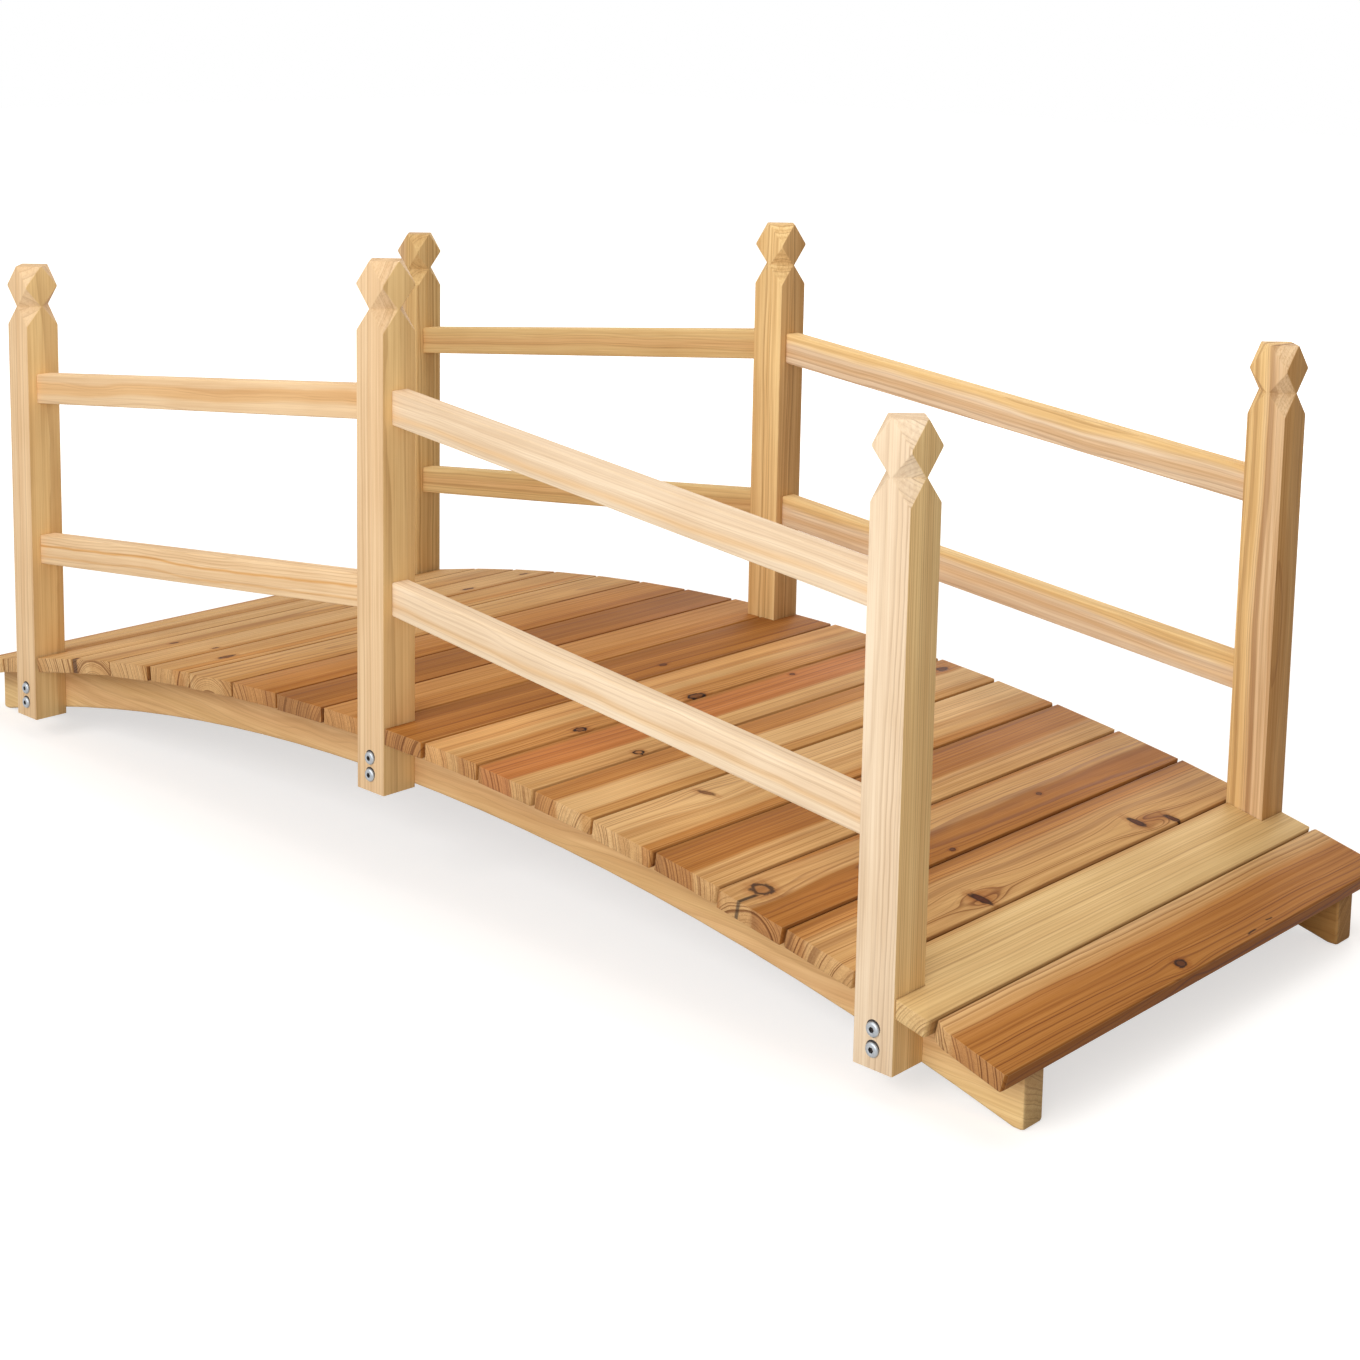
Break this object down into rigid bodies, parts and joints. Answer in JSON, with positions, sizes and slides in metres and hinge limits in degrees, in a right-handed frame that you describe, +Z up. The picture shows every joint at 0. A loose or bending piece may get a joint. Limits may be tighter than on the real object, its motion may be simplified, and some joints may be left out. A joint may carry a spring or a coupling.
{
  "type": "wooden garden bridge",
  "caption": "Arched timber garden footbridge: cross boards on curved stringers, square posts with notched finials and sloping double rails on both sides.",
  "frame": {"origin": "on the ground, under the middle of the span", "axes": "+X along the bridge, +Y across it, +Z up"},
  "size_m": [1.6706, 0.68, 0.6811],
  "materials": {
    "frame_wood": "planed, untreated",
    "deck_wood": "planed, untreated",
    "bolt_steel": "zinc plated"
  },
  "bodies": {
    "root": {"stringer_near": "frame_wood", "stringer_far": "frame_wood", "post_near_left": "frame_wood", "post_near_middle": "frame_wood", "post_near_right": "frame_wood", "post_far_left": "frame_wood", "post_far_middle": "frame_wood", "post_far_right": "frame_wood", "rail_near_left_upper": "frame_wood", "rail_near_left_lower": "frame_wood", "rail_near_right_upper": "frame_wood", "rail_near_right_lower": "frame_wood", "rail_far_left_upper": "frame_wood", "rail_far_left_lower": "frame_wood", "rail_far_right_upper": "frame_wood", "rail_far_right_lower": "frame_wood", "deck_board_01": "deck_wood", "deck_board_02": "deck_wood", "deck_board_03": "deck_wood", "deck_board_04": "deck_wood", "deck_board_05": "deck_wood", "deck_board_06": "deck_wood", "deck_board_07": "deck_wood", "deck_board_08": "deck_wood", "deck_board_09": "deck_wood", "deck_board_10": "deck_wood", "deck_board_11": "deck_wood", "deck_board_12": "deck_wood", "deck_board_13": "deck_wood", "deck_board_14": "deck_wood", "deck_board_15": "deck_wood", "deck_board_16": "deck_wood", "deck_board_17": "deck_wood", "deck_board_18": "deck_wood", "deck_board_19": "deck_wood", "deck_board_20": "deck_wood"}
  },
  "joints": []
}
